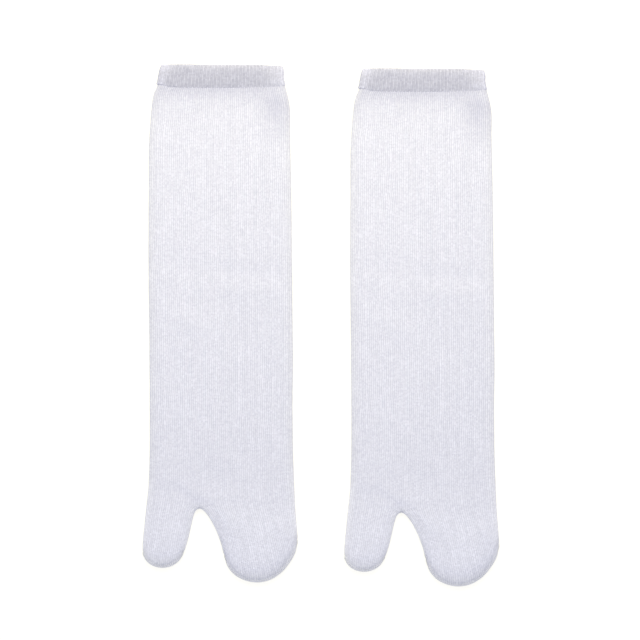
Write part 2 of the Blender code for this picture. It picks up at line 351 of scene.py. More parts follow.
# %% The soft folds
Fold = namedtuple("Fold", "place start end rise breadth")
SOFT_FOLDS = (
    Fold("ankle trough, big toe side", Place(-34, 131), Place(0, 137), -0.4, 7),
    Fold("ankle trough, outer side", Place(4, 136), Place(42, 139), -0.45, 6),
    Fold("ankle ridge, outer side", Place(8, 149), Place(40, 147), 0.3, 6),
    Fold("instep crease", Place(-44, 157), Place(-10, 174), 0.3, 5),
    Fold("instep hollow", Place(6, 158), Place(12, 182), -0.4, 9),
    Fold("toe ridge, upper stretch", Place(-44, 267), Place(-14, 284), 0.4, 5.5),
    Fold("toe ridge, lower stretch", Place(-14, 284), Place(8, 301), 0.35, 5.5),
    Fold("hollow above the split", Place(-12, 264), Place(-3, 271), -0.35, 7),
    Fold("crease towards the split", Place(-30, 277.5), Place(-21, 283.5), -0.6, 3.2),
    Fold("corner ridge", Place(37, 301), Place(47, 311), 0.4, 4),
    Fold("swell under the cuff", Place(18, 19), Place(36, 22), 0.4, 6),
    Fold("shoulder under the cuff", Place(38, 34), Place(46, 58), -0.8, 9),
)
FOLDS_FADE_OVER = 12.0  # from the edge inwards


def soft_fold_rise(points):
    total = np.zeros(points.shape[:-1])
    for fold in SOFT_FOLDS:
        start, run = np.array(fold.start, float), np.subtract(fold.end, fold.start)
        share = held(((points - start) @ run) / (run @ run))
        away = np.linalg.norm(points - (start + share[..., None] * run), axis=-1)
        total += fold.rise * np.exp(-((away / fold.breadth) ** 2))
    return total


print("soft folds:", len(SOFT_FOLDS))


# %% Lift a plan to its panel
def side_fold(along, near_split):
    """How high the side fold's round rises, and over what run."""
    under_cuff = smooth_step(1.0 - (along - CUFF_HEIGHT) / CUFF_FOLD_FADES)
    in_toes = smooth_step(along, TOES_FROM, TOES_TO)
    height = FOLD_HEIGHT + (CUFF_FOLD_HEIGHT - FOLD_HEIGHT) * under_cuff
    height += (TOE_FOLD_HEIGHT - FOLD_HEIGHT) * in_toes
    run = FOLD_RUN + (TOE_FOLD_RUN - FOLD_RUN) * in_toes
    height += (SPLIT_FOLD_HEIGHT - height) * near_split
    return height, run + (SPLIT_FOLD_RUN - run) * near_split


def upper_height(points, distance):
    """The height of the upper panel's outside."""
    level = read(UPPER_PANEL, "level", points[..., 1])
    near_split = np.exp(-((np.linalg.norm(points - CROTCH, axis=-1) / SPLIT_REACH) ** 2))
    fold_height, fold_run = side_fold(points[..., 1], near_split)
    height = EDGE_LEVEL + (fold_height - EDGE_LEVEL) * round_rise(distance / fold_run)
    height += (level - SPLIT_DROP * near_split - fold_height) * ease_out(distance / SLOPE_RUN)
    return height + soft_fold_rise(points) * smooth_step(distance / FOLDS_FADE_OVER)


def lifted(plan, panel, inset):
    """Plan points lifted to the upper or the lower panel, on its outside or its inside."""
    distance = edge_distance(plan)
    if panel == "upper":
        height, run = upper_height(plan, distance) - inset, FOLD_RUN - inset
    else:
        height, run = inset, UNDERSIDE_RUN - inset
    if panel == "lower" or inset > 0.0:
        rise = round_rise(np.maximum(0.0, distance - inset) / run)
        height = EDGE_LEVEL + (height - EDGE_LEVEL) * rise
    return np.concatenate([plan, height[..., None]], axis=-1)


LEG_MIDDLE = np.array([[[0.0, 200.0]]])
print("upper panel's height in the leg's middle:", lifted(LEG_MIDDLE, "upper", 0.0)[0, 0, 2])

# %% [markdown]
# ## Two strips from the mouth to the toes
# On the machine each stitch column is one needle's work, and a column never ends in the
# middle of the cloth. At the split they part: some go down into the big toe's pocket, the
# rest into the wide one. So each panel is laid out as two strips that share a line down
# to the split. In a pocket the strip is stretched between four curves, its two sides, the
# row at the split and the toe's arc (mathematicians call this a Coons patch).

# %% Rows across the leg
WALES_PER_PANEL = 72
BIG_TOE_WALES = 26
ROW_LIFT = 5.0  # how far a row rises from the split to the sides
ROW_LIFT_REACH = 9.0
COLUMNS_TURN_OVER = 70.0  # over this length above the split the columns gather to it
PLAN_POINTS = {"big toe": 90, "wide toe": 150}
STRIP_WALES = {"big toe": (0, BIG_TOE_WALES), "wide toe": (BIG_TOE_WALES, WALES_PER_PANEL)}


def leg_strips(paths, stations):
    """Plan rows of both strips, from the mouth down to the row at the split."""
    crotch = paths["wide toe inner edge"][0]
    sides = (paths["left side"], paths["right side"][::-1])
    even_split = BIG_TOE_WALES / WALES_PER_PANEL
    strips = {"big toe": [], "wide toe": []}
    for station in stations:
        turn = float(smooth_step(1.0 - (crotch[1] - station) / COLUMNS_TURN_OVER))
        lift = ROW_LIFT * turn**2
        left, right = [np.interp(station - lift, side[:, 1], side[:, 0]) for side in sides]
        split = (1.0 - turn) * even_split + turn * (crotch[0] - left) / (right - left)
        spans = {"big toe": (0.0, split, left), "wide toe": (split, 1.0, right)}
        for name, (first, last, end) in spans.items():
            shares = first + gathered(PLAN_POINTS[name]) * (last - first)
            across = left + shares * (right - left)
            away = 1.0 - np.exp(-np.abs(across - crotch[0]) / ROW_LIFT_REACH)
            most = 1.0 - np.exp(-abs(end - crotch[0]) / ROW_LIFT_REACH)
            strips[name].append(np.stack([across, station - lift * away / most], axis=1))
    return {name: np.array(rows) for name, rows in strips.items()}


# %% Rows across a toe pocket
CLOSEST = 0.01  # a side path's points nearer than this to a row's end are left out


def pocket_strip(top, first_side, last_side, arc, shares):
    """Plan rows of a toe pocket, stretched between its four edges."""
    blend = np.linalg.norm(top - top[0], axis=1)
    blend /= blend[-1]
    bottom = walk(arc, blend)
    blend = blend[:, None]
    rows = []
    for share in shares:
        first, last = walk(first_side, [share])[0], walk(last_side, [share])[0]
        ruled = (1.0 - share) * top + share * bottom
        sides = (1.0 - blend) * first + blend * last
        top_line = (1.0 - blend) * top[0] + blend * top[-1]
        bottom_line = (1.0 - blend) * bottom[0] + blend * bottom[-1]
        rows.append(ruled + sides - (1.0 - share) * top_line - share * bottom_line)
    return np.array(rows)


def below(side, end):
    """The part of a side path from a row's end down to the toe corner."""
    return np.concatenate([[end], side[side[:, 1] > end[1] + CLOSEST]])


def strips_of_panel(inset, stations, shares):
    """Both strips from the mouth to the toe tips, as rows of plan points."""
    paths = edge_paths(inset)
    leg = leg_strips(paths, stations)
    left_end, right_end = leg["big toe"][-1, 0], leg["wide toe"][-1, -1]
    edges = {
        "big toe": (below(paths["left side"], left_end), paths["big toe inner edge"][::-1]),
        "wide toe": (paths["wide toe inner edge"], below(paths["right side"][::-1], right_end)),
    }
    strips = {}
    for name, (first_side, last_side) in edges.items():
        arc = paths[name + " arc"]
        pocket = pocket_strip(leg[name][-1], first_side, last_side, arc, shares)
        strips[name] = np.concatenate([leg[name], pocket[1:]])
    return strips


# %% [markdown]
# ## Uneven yarn
# A machine knits evenly, yet the cloth never looks drawn with a ruler: some columns are a
# little wider, they wander as the cloth is laid down, and their relief comes and goes.
# All of it comes from sums of sine waves with fixed dice, so each run gives the same sock.

# %% Waves and dice
SEED = 11
WAVES, LONGEST_WAVE = 18, 2.5  # how many waves, and the longest as against the shortest
WALE_WIDTHS, WALE_HEIGHTS = (0.86, 1.14), (0.85, 1.15)  # round the usual ones
dice = np.random.default_rng(SEED)
wale_widths = dice.uniform(*WALE_WIDTHS, 2 * WALES_PER_PANEL)
wale_heights = dice.uniform(*WALE_HEIGHTS, 2 * WALES_PER_PANEL)


def waves(points, shortest, seed):
    """A soft random field over the plan, mostly between -1 and 1."""
    rolls = np.random.default_rng(seed)
    total = np.zeros(points.shape[:-1])
    for _ in range(WAVES):
        turn = rolls.uniform(0.0, 2.0 * np.pi)
        length = shortest * rolls.uniform(1.0, LONGEST_WAVE)
        phase = rolls.uniform(0.0, 2.0 * np.pi)
        run = points[..., 0] * np.cos(turn) + points[..., 1] * np.sin(turn)
        total += np.sin(2.0 * np.pi * run / length + phase)
    return total / math.sqrt(WAVES)


print("column widths vary from", wale_widths.min().round(2), "to", wale_widths.max().round(2))

# %% Uneven columns
WANDER = 0.24  # how far a stitch column strays to the side
WANDER_LENGTH, WANDER_FADES = 13.0, 6.0
BEND_REACH = 7.0  # how softly a column bends where its pocket begins
BEND_FADES = 18.0
BEND_FROM_SPLIT = 14.0  # full softness only this far from the split


def spaced_wales(rows, first, last, per_wale):
    """Moves each row's points along it, to give each stitch column its own width."""
    steps = np.repeat(wale_widths[first:last], per_wale)
    shares = np.concatenate([[0.0], np.cumsum(steps)]) / steps.sum()
    spaced = []
    for row in rows:
        plan = walk(row[:, :2], shares)
        length = lengths_along(row[:, :2])[-1]
        to_end = np.minimum(shares, 1.0 - shares) * length
        fading = smooth_step(to_end / WANDER_FADES)
        stray = WANDER * waves(plan, WANDER_LENGTH, SEED + 3) * fading
        spaced.append(walk(row, shares + stray / length))
    return np.array(spaced)


def bent(rows, kink):
    """Lets the columns bend softly across the rows round a kink."""
    along = rows[..., 1].mean(axis=1)
    shares = np.exp(-(((along[:, None] - along) / BEND_REACH) ** 2)) * np.gradient(along)
    softened = shares @ rows[..., 0] / shares.sum(axis=1, keepdims=True)
    from_kink = np.exp(-(((along - along[kink]) / BEND_FADES) ** 2))
    from_split = np.linalg.norm(rows[kink, :, :2] - CROTCH, axis=1)
    weight = from_kink[:, None] * smooth_step(from_split / BEND_FROM_SPLIT)
    rows[:, 1:-1, 0] += (weight * (softened - rows[..., 0]))[:, 1:-1]
    return rows


# %% [markdown]
# ## The relief of the stitch columns
# Jersey knit looks like narrow upright ribs, because each column of loops bulges and the
# columns meet in a groove. That relief is real geometry here, four points to a column. A
# bump map could fake it, but then the outline of a fold would stay perfectly smooth.

# %% Column relief and unevenness
PER_WALE = 4
COLUMN_RELIEF = 0.11
COLUMN_PROFILE = (-1.0, 0.2, 1.0, 0.2)
RELIEF_VARIES, RELIEF_PATCH = 0.3, 4.0
UNEVENNESS, UNEVEN_PATCH = 0.07, 22.0


def column_relief(points, columns):
    """Groove to crest to groove over each stitch column, stronger in some places."""
    wale = (columns // PER_WALE) % (2 * WALES_PER_PANEL)
    profile = np.array(COLUMN_PROFILE)[columns % PER_WALE] * wale_heights[wale]
    varied = 1.0 + RELIEF_VARIES * waves(points, RELIEF_PATCH, SEED + 1)
    return COLUMN_RELIEF * profile * varied


def cloth_relief(points, columns):
    """The columns' relief on cloth that is a little uneven itself."""
    uneven = UNEVENNESS * waves(points, UNEVEN_PATCH, SEED + 2)
    return column_relief(points, columns) + uneven


# %% [markdown]
# ## From rows to a closed tube
# Above the split a row of the upper panel and the same row of the lower panel make one
# closed ring. Below it there are two rings, one for each pocket. The last ring of a
# pocket is pressed flat, because there the two panels are joined along the toe's arc.
# Each face corner also gets its place in the knit, counted in stitch columns and
# courses: this is the UV map that the stitch material reads. Courses are a millimetre
# apart, so a course's number is also how far along it lies.


# %% Into the scene
def in_space(points):
    """Plan points turned so that the toes lie towards -Y."""
    return points * np.array([1.0, -1.0, 1.0])


def show(name, data):
    """Puts an object with this data in the scene."""
    piece = bpy.data.objects.new(name, data)
    scene.collection.objects.link(piece)
    return piece


# %% A piece of cloth in the making
class Cloth:
    """Points, faces and stitch places of one knitted piece while it is being made."""

    def __init__(self):
        self.points = []
        self.relief = []
        self.faces = []
        self.places = []

    def add_points(self, rows, relief):
        """Adds rows of points with their relief, and gives back their numbers."""
        first = len(self.points)
        self.points.extend(rows.reshape(-1, 3).tolist())
        self.relief.extend(np.broadcast_to(relief, rows.shape[:-1]).ravel().tolist())
        return first + np.arange(rows.shape[0] * rows.shape[1]).reshape(rows.shape[:-1])

    def add_rings(self, ids, wales, courses, wale_step, outside):
        """Adds a face between each four neighbours on closed rings."""
        right = np.roll(ids, -1, axis=1)
        quads = np.stack([ids[:-1], ids[1:], right[1:], right[:-1]], axis=-1)
        wale = np.broadcast_to(wales, ids[:-1].shape)
        above = np.broadcast_to(courses[:-1, None], wale.shape)
        under = np.broadcast_to(courses[1:, None], wale.shape)
        u = np.stack([wale, wale, wale + wale_step, wale + wale_step], axis=-1)
        places = np.stack([u, np.stack([above, under, under, above], axis=-1)], axis=-1)
        if not outside:
            quads, places = quads[..., ::-1], places[..., ::-1, :]
        self.faces.extend(quads.reshape(-1, 4).tolist())
        self.places.extend(places.reshape(-1, 2).tolist())

    def add_face(self, ids, places):
        self.faces.append(list(ids))
        self.places.extend(places)

    def to_object(self, name, material):
        """Makes the mesh, raises its relief along the cloth's own normals, and shows it."""
        mesh = bpy.data.meshes.new(name)
        mesh.from_pydata((np.array(self.points) * MM).tolist(), [], self.faces)
        normals = np.empty(len(mesh.vertices) * 3, np.float32)
        mesh.vertex_normals.foreach_get("vector", normals)
        raised = np.array(self.points) + normals.reshape(-1, 3) * np.array(self.relief)[:, None]
        raised[:, 2] = np.maximum(raised[:, 2], 0.0)
        mesh.vertices.foreach_set("co", (raised * MM).astype(np.float32).ravel())
        stitches = mesh.uv_layers.new(name="stitches")
        stitches.uv.foreach_set("vector", np.array(self.places, np.float32).ravel())
        mesh.materials.append(material)
        mesh.shade_smooth()
        mesh.update()
        return show(name, mesh)


# %% [markdown]
# ## Shared shading: loops and yarn
# The columns are geometry, but the loops inside them are under a millimetre, so they are
# drawn by a shader group that any knitted piece can use. A loop shows as a V: two legs
# that lean towards the column's middle. The group gives the loop's height for a bump,
# and how deep a point lies in the gaps, which lets less light in. It also gives each
# column and each loop its own chance value. A second group gives the slight clouding and
# fleck of cotton yarn. Math nodes are made by plain arithmetic on a value of the tree,
# because a formula is easier to follow than a row of linked nodes.


# %% Arithmetic in a shader tree
class Value:
    """A number in a shader tree. Adding, multiplying and so on makes the Math node."""

    def __init__(self, tree, socket):
        self.tree = tree
        self.socket = socket

    def calc(self, operation, other=0.0, clamp=False, swapped=False):
        """The Math node's result, with this value first, or second if they are swapped."""
        node = self.tree.nodes.new("ShaderNodeMath")
        node.operation = operation
        node.use_clamp = clamp
        pair = (other, self) if swapped else (self, other)
        for value, socket in zip(pair, node.inputs):
            feed(self.tree, value, socket)
        return Value(self.tree, node.outputs[0])

    def fade(self, low, high):
        """0 where this value is under low, 1 over high, and smooth between."""
        node = self.tree.nodes.new("ShaderNodeMapRange")
        node.interpolation_type = "SMOOTHSTEP"
        feed(self.tree, self, node.inputs["Value"])
        node.inputs["From Min"].default_value = low
        node.inputs["From Max"].default_value = high
        return Value(self.tree, node.outputs["Result"])

    __add__ = partialmethod(calc, "ADD")
    __sub__ = partialmethod(calc, "SUBTRACT")
    __rsub__ = partialmethod(calc, "SUBTRACT", swapped=True)
    __mul__ = partialmethod(calc, "MULTIPLY")
    __truediv__ = partialmethod(calc, "DIVIDE")
    __pow__ = partialmethod(calc, "POWER")
    __abs__ = partialmethod(calc, "ABSOLUTE")


# %% Links and small formulas
def feed(tree, value, socket):
    """Links a value or an output into a socket, or sets the socket to a plain value."""
    if isinstance(value, Value):
        value = value.socket
    if isinstance(value, bpy.types.NodeSocket):
        tree.links.new(value, socket)
    else:
        socket.default_value = value


def clamped(value):
    return value.calc("ADD", clamp=True)


def cosine(value):
    return value.calc("COSINE")


def greater(value, other):
    return value.calc("MAXIMUM", other)


def chance(across, along):
    """A white-noise value for each pair of whole numbers."""
    tree = across.tree
    node = tree.nodes.new("ShaderNodeTexWhiteNoise")
    node.noise_dimensions = "2D"
    spot = tree.nodes.new("ShaderNodeCombineXYZ")
    feed(tree, across, spot.inputs["X"])
    feed(tree, along, spot.inputs["Y"])
    tree.links.new(spot.outputs[0], node.inputs["Vector"])
    return Value(tree, node.outputs["Value"])


def mix_colour(tree, share, first, second, blend="MIX"):
    """A colour between two others, or their product."""
    node = tree.nodes.new("ShaderNodeMix")
    node.data_type = "RGBA"
    node.blend_type = blend
    for value, name in ((share, "Factor"), (first, "A"), (second, "B")):
        feed(tree, value, next(s for s in node.inputs if s.name == name and s.enabled))
    return next(s for s in node.outputs if s.enabled)


# %% Shader groups
def new_group(name, numbers, reads_stitches=True):
    """A shader group with its number inputs and, if asked, a stitch's column and course."""
    group = bpy.data.node_groups.new(name, "ShaderNodeTree")
    add_socket = group.interface.new_socket
    for number, usual in numbers.items():
        socket = add_socket(number, in_out="INPUT", socket_type="NodeSocketFloat")
        socket.default_value = usual
    if reads_stitches:
        add_socket("Stitch", in_out="INPUT", socket_type="NodeSocketVector")
    given = group.nodes.new("NodeGroupInput").outputs
    values = {number: Value(group, given[number]) for number in numbers}
    if reads_stitches:
        stitch = group.nodes.new("ShaderNodeSeparateXYZ")
        group.links.new(given["Stitch"], stitch.inputs[0])
        values["wale"] = Value(group, stitch.outputs["X"])
        values["course"] = Value(group, stitch.outputs["Y"])
    return group, values


def finish_group(group, results):
    """Gives the group its outputs, each with the value it carries."""
    end = group.nodes.new("NodeGroupOutput")
    for name, value in results.items():
        group.interface.new_socket(name, in_out="OUTPUT", socket_type="NodeSocketFloat")
        feed(group, value, end.inputs[name])
    print("group", group.name, "with", len(group.nodes), "nodes")
    return group


# %% The loops of a knit
LEG_AT = 0.24  # where a loop's leg lies, from the column's middle
LEG_HALF_WIDTH = 0.25
LEG_LEAN = 1.5
LOOP_BULGE = 0.3  # how much higher a loop's middle stands than its ends
COLUMN_GAP = 0.34, 0.5  # the gap beside a column, from the column's middle
LOOP_GAP = 0.35  # how much of a gap the low places between loops are


def make_loop_group():
    """Height, gap shade and chance values of stitches."""
    group, given = new_group("knit_loops", {"Lean": LEG_LEAN})
    wale = given["wale"]
    away = abs(wale.calc("FRACT") - 0.5)
    off_leg = (away - LEG_AT) / LEG_HALF_WIDTH
    leg = clamped(1.0 - off_leg * off_leg)
    course = given["course"] - away * given["Lean"]
    height = leg * (cosine(course * (2.0 * math.pi)) * LOOP_BULGE + (1.0 - LOOP_BULGE))
    between_loops = (1.0 - height) * LOOP_GAP
    results = {
        "Height": height,
        "Gap Shade": greater(away.fade(*COLUMN_GAP), between_loops),
        "Column": chance(wale.calc("FLOOR"), 0.5),
        "Pull": chance(wale.calc("FLOOR"), course.calc("FLOOR")),
    }
    return finish_group(group, results)


loop_group = make_loop_group()


# %% The cotton yarn
def make_yarn_group():
    """Broad clouds and fine flecks, both from 0 to 1."""
    sizes = {"Cloud Size": 30.0, "Fleck Size": 900.0}
    group, given = new_group("cotton_yarn", sizes, reads_stitches=False)
    where = group.nodes.new("ShaderNodeTexCoord")
    results = {}
    for name in ("Cloud", "Fleck"):
        noise = group.nodes.new("ShaderNodeTexNoise")
        group.links.new(where.outputs["Object"], noise.inputs["Vector"])
        feed(group, given[name + " Size"], noise.inputs["Scale"])
        results[name] = noise.outputs["Fac"]
    return finish_group(group, results)


yarn_group = make_yarn_group()

# %% [markdown]
# ## Shared shading: places on the sock
# Cloth has one colour but not one tone, and most tones that places get here are painted
# light and shade. Under the cuff the loops are drawn together and the cuff's lip casts a
# shadow, both painted as a darker band, most of all for the first centimetre; painted shade
# reaches further down, and lies on a hollow near the outer side. The toe pockets, the wide
# one most, get painted light, and the rounded toe ends beside the linked seams get painted
# shade. The foot's side folds above the toes get painted light, and so do the ribs at the
# cuff's rim and sides. All over the foot the loops lie pressed flatter, so that the gaps
# between them show less. Another group turns a stitch's column and course into masks for
# such places, so that the knit and the ribs can each use the ones they need.

# %% Reaches of the places
DRAWN_AND_SHADOW_OVER = 12.0  # how far below the cuff the loops stay drawn together and the lip's painted shadow reaches
BELOW_CUFF_SHADE_OVER = 36.0  # and how far a lighter painted shade reaches below the cuff
FREE_WALES = 18.0  # at both side folds the loops are drawn together less and the lip's painted shadow is weaker
SHOULDER_SHADE_COURSES = (2.0, 9.0), (14.0, 44.0)  # painted shade of a hollow under the cuff, near the outer side
SHOULDER_SHADE_WALES = (-6.0, 10.0), (5.0, 20.0)  # counted from the outer side fold
OUTER_WALES = 22.0
FOLD_WALES = 7.0  # how many columns belong to a side fold
RIM_COURSES = 7.0
FOOT_COURSES = 222.0, 268.0  # over these the leg passes into the foot
TOE_LIGHT_COURSES = (290.0, 306.0), (322.0, 336.0)
BIG_TOE_LESS_LIGHT = 0.3  # by this share the narrow pocket gets less painted light
SEAM_COURSES = 9.0
SEAM_FREE_WALES = 4.0, 16.0  # the painted shade leaves the seams' ends light
SPLIT_WALES = 5.0
SPLIT_COURSES = 286.0, 294.0
CORNER_WALES = 7.0
CORNER_COURSES = (256.0, 294.0), (320.0, 334.0)


# %% The places of a sock
def near(distance, reach):
    """1 where the distance is 0, and falling ever more gently to 0 at the reach."""
    eased = clamped(1.0 - distance / reach)
    return eased * eased


def between(value, rise, fall):
    """1 between a soft rise and a soft fall, each given by where it starts and ends."""
    return value.fade(*rise) - value.fade(*fall)


def make_places_group():
    """Masks by stitch column and course."""
    group, given = new_group("sock_places", {})
    wale, course = given["wale"], given["course"]
    from_cuff = course - CUFF_HEIGHT
    from_side = abs(wale - WALES_PER_PANEL)
    from_fold = wale.calc("PINGPONG", WALES_PER_PANEL / 2)
    past_split = from_side - (WALES_PER_PANEL - BIG_TOE_WALES)
    big_toe = past_split.calc("GREATER_THAN", 0.0)
    from_seam = big_toe * (BIG_TOE_TIP - WIDE_TOE_TIP) + WIDE_TOE_TIP - course
    by_seam = 1.0 - from_seam.fade(1.0, SEAM_COURSES)
    masks = {
        "Purl": 0.5 - cosine((wale - 0.5) * math.pi) * 0.5,
        # loops drawn together under the cuff, with the painted shadow of its lip
        "Drawn And Lip Shadow": near(from_cuff, DRAWN_AND_SHADOW_OVER) * (1.0 - near(from_fold, FREE_WALES)),
        # painted shade that reaches further below the cuff
        "Below Cuff Shade": near(from_cuff, BELOW_CUFF_SHADE_OVER),
        # painted shade of a hollow under the cuff, near the outer side
        "Shoulder Shade": between(from_cuff, *SHOULDER_SHADE_COURSES) * between(from_side, *SHOULDER_SHADE_WALES),
        "Outer Side": near(from_side, OUTER_WALES),
        "Side Fold": near(from_fold, FOLD_WALES),
        "Rim": near(course, RIM_COURSES),
        "Foot": course.fade(*FOOT_COURSES),
        # painted light on the toe pockets, weaker in the big toe's
        "Toe Light": between(course, *TOE_LIGHT_COURSES) * (1.0 - big_toe * BIG_TOE_LESS_LIGHT),
        # painted shade on the rounded toe ends beside the seams
        "Seam": by_seam * from_fold.fade(*SEAM_FREE_WALES),
        "Seam Edge": near(from_seam, SEAM_COURSES),
        "Split Edge": near(abs(past_split), SPLIT_WALES) * course.fade(*SPLIT_COURSES),
        # where painted light goes on the side folds above the toes
        "Corner": between(course, *CORNER_COURSES) * near(from_fold, CORNER_WALES),
    }
    return finish_group(group, masks)


places_group = make_places_group()

# %% [markdown]
# ## The cotton material
# White cotton is not quite white: this one leans slightly to blue, as bleached yarn does,
# and its darker tones, painted shade most of all, lean to blue a little more than its light
# parts. At the side folds, the split and the toe seams the painted shade gets less blue, so
# that it looks neutral there. Painted shade darkens the colour in the gaps between loops and
# in the purled columns, which lie deeper. Each finish then says by how much each place
# changes its tone and its blue, mostly as painted light and shade. Cotton has no gloss, only
# a soft sheen where fine hairs catch the light at a low angle.

# %% Finishes
KNIT = {
    "name": "knitted_cotton",
    "crest": (0.87, 0.87, 0.93, 1.0),
    # the gap colour is painted shade in the gaps between loops
    "gap_shade": (0.50, 0.50, 0.56, 1.0),
    "purl_shade": 0.0,
    "foot_gap": 0.30,
    "pull": 0.12,
    "bump": 0.7,
    "tones": {
        # painted shadow of the cuff's lip, on loops drawn together
        "Drawn And Lip Shadow": -0.13,
        # painted shade further below the cuff
        "Below Cuff Shade": -0.09,
        # painted shade of a hollow near the outer side
        "Shoulder Shade": -0.13,
        # painted shade on the side folds
        "Side Fold": -0.04,
        # painted light on the toe pockets
        "Toe Light": 0.045,
        # painted shade on the rounded toe ends
        "Seam": -0.07,
        # painted light on the split's edges
        "Split Edge": 0.05,
        # painted light on the side folds above the toes
        "Corner": 0.13,
    },
    # less blue in the painted shade of the side folds, the toe ends and the split's edges
    "blues": {"Side Fold": -0.04, "Seam Edge": -0.09, "Split Edge": -0.06},
}
RIB = {
    "name": "ribbed_cotton",
    "crest": (0.59, 0.59, 0.656, 1.0),
    # the gap colour is painted shade in the gaps between loops and in the purled columns
    "gap_shade": (0.365, 0.365, 0.435, 1.0),
    "purl_shade": 0.4,
    "foot_gap": 0.0,
    "pull": 0.20,
    "bump": 0.6,
    # painted light on the cuff's outer end, its side folds and its rim
    "tones": {"Outer Side": 0.35, "Side Fold": 0.22, "Rim": 0.10},
    "blues": {},
}
SHADE_TINT = 0.75  # under 1, a shade takes less from the blue
FOOT_EVENNESS = 0.3  # how far the foot's gaps even out to a finish's foot_gap
CLOUDS, FLECKS, COLUMNS_DIFFER = 0.015, 0.22, 0.01
print("finishes:", KNIT["name"], "and", RIB["name"])


# %% Material helpers
def new_material(name, settings):
    """A material whose shader has the given settings, with its node tree and shader."""
    material = bpy.data.materials.new(name)
    material.use_nodes = True
    shader = material.node_tree.nodes["Principled BSDF"]
    for socket_name, value in settings.items():
        shader.inputs[socket_name].default_value = value
    return material, material.node_tree, shader


def use_group(tree, group, given):
    """Puts a shader group in a material, feeds it, and gives back its values by name."""
    node = tree.nodes.new("ShaderNodeGroup")
    node.node_tree = group
    for name, value in given.items():
        feed(tree, value, node.inputs[name])
    return {output.name: Value(tree, output) for output in node.outputs}


def add_bump(tree, shader, height, strength, distance):
    bump = tree.nodes.new("ShaderNodeBump")
    bump.inputs["Strength"].default_value = strength
    bump.inputs["Distance"].default_value = distance * MM
    feed(tree, height, bump.inputs["Height"])
    tree.links.new(bump.outputs["Normal"], shader.inputs["Normal"])


# %% Tone and colour
def vary(value, amount):
    """A factor round 1 that strays by half the amount to each side."""
    return value * amount + (1.0 - amount / 2.0)


def weighed(places, amounts):
    """1 plus each place's mask times its amount."""
    total = 1.0
    for name, amount in amounts.items():
        total = places[name] * amount + total
    return total


def toned(tree, finish, places, loops, yarn, colour):
    """The colour times the tone of its place, yarn and loop."""
    tone = weighed(places, finish["tones"])
    tone = tone * vary(yarn["Cloud"], CLOUDS) * vary(yarn["Fleck"], FLECKS)
    tone = tone * vary(loops["Column"], COLUMNS_DIFFER) * vary(loops["Pull"], finish["pull"])
    blue = greater(tone, tone**SHADE_TINT) * weighed(places, finish["blues"])
    grey = tree.nodes.new("ShaderNodeCombineColor")
    for channel, value in (("Red", tone), ("Green", tone), ("Blue", blue)):
        feed(tree, value, grey.inputs[channel])
    return mix_colour(tree, 1.0, colour, grey.outputs[0], "MULTIPLY")


# %% Make the cotton
COTTON = {
    "Roughness": 0.92,
    "Specular IOR Level": 0.08,
    "Sheen Weight": 0.06,
    "Sheen Roughness": 0.5,
}
COTTON_BUMP = 0.3
FLECK_HEIGHT = 0.5  # a fleck's share of a loop's height


def make_cotton(finish):
    material, tree, shader = new_material(finish["name"], COTTON)
    stitch_map = tree.nodes.new("ShaderNodeUVMap")
    stitch_map.uv_map = "stitches"
    stitch = {"Stitch": stitch_map.outputs["UV"]}
    loops = use_group(tree, loop_group, stitch)
    yarn = use_group(tree, yarn_group, {})
    places = use_group(tree, places_group, stitch)
    # where painted shade goes: the gaps between loops, and the purled columns
    gap_shade = greater(loops["Gap Shade"], places["Purl"] * finish["purl_shade"])
    gap_shade = (finish["foot_gap"] - gap_shade) * (places["Foot"] * FOOT_EVENNESS) + gap_shade
    colour = mix_colour(tree, gap_shade, finish["crest"], finish["gap_shade"])
    colour = toned(tree, finish, places, loops, yarn, colour)
    tree.links.new(colour, shader.inputs["Base Color"])
    height = loops["Height"] + yarn["Fleck"] * FLECK_HEIGHT
    add_bump(tree, shader, height, finish["bump"], COTTON_BUMP)
    return material


knit_cotton = make_cotton(KNIT)
rib_cotton = make_cotton(RIB)
print("materials:", knit_cotton.name, rib_cotton.name)

# %% [markdown]
# ## The ribbed cuff
# The cuff is knitted double, one column plain and the next one purled, which gives
# narrow upright ribs that draw the mouth in. It is turned at the top, so its rim is
# round, and its lower lip bows down a little in the middle. Its wall is a loop in
# section: up the outside, over the rim, down the inside and round the lip. Ribs are
# raised from a plain ring by a wave once every two stitch columns.

# %% The cuff's wall in section
CUFF_LEVEL = 4.9
CUFF_WALL = 1.8
OUTSIDE_ROWS, ROUND_ROWS, INSIDE_ROWS = 26, 6, 12


def cuff_section():
    """The wall once round: (along, depth from the outside, how much it faces out)."""
    half = CUFF_WALL / 2.0
    turn = math.pi * np.arange(ROUND_ROWS) / ROUND_ROWS
    climb = np.arange(OUTSIDE_ROWS) / OUTSIDE_ROWS
    fall = np.arange(INSIDE_ROWS) / INSIDE_ROWS
    straight = CUFF_HEIGHT - CUFF_WALL
    along = [CUFF_HEIGHT - half - straight * climb, half - half * np.sin(turn)]
    along += [half + straight * fall, CUFF_HEIGHT - half + half * np.sin(turn)]
    depth = [0.0 * climb, half - half * np.cos(turn)]
    depth += [0.0 * fall + CUFF_WALL, half + half * np.cos(turn)]
    outside = [0.0 * climb + 1.0, np.cos(turn / 2.0), 0.0 * fall, np.sin(turn / 2.0)]
    return np.stack([np.concatenate(rows) for rows in (along, depth, outside)], axis=1)


section = cuff_section()
print("rings round the cuff:", len(section))

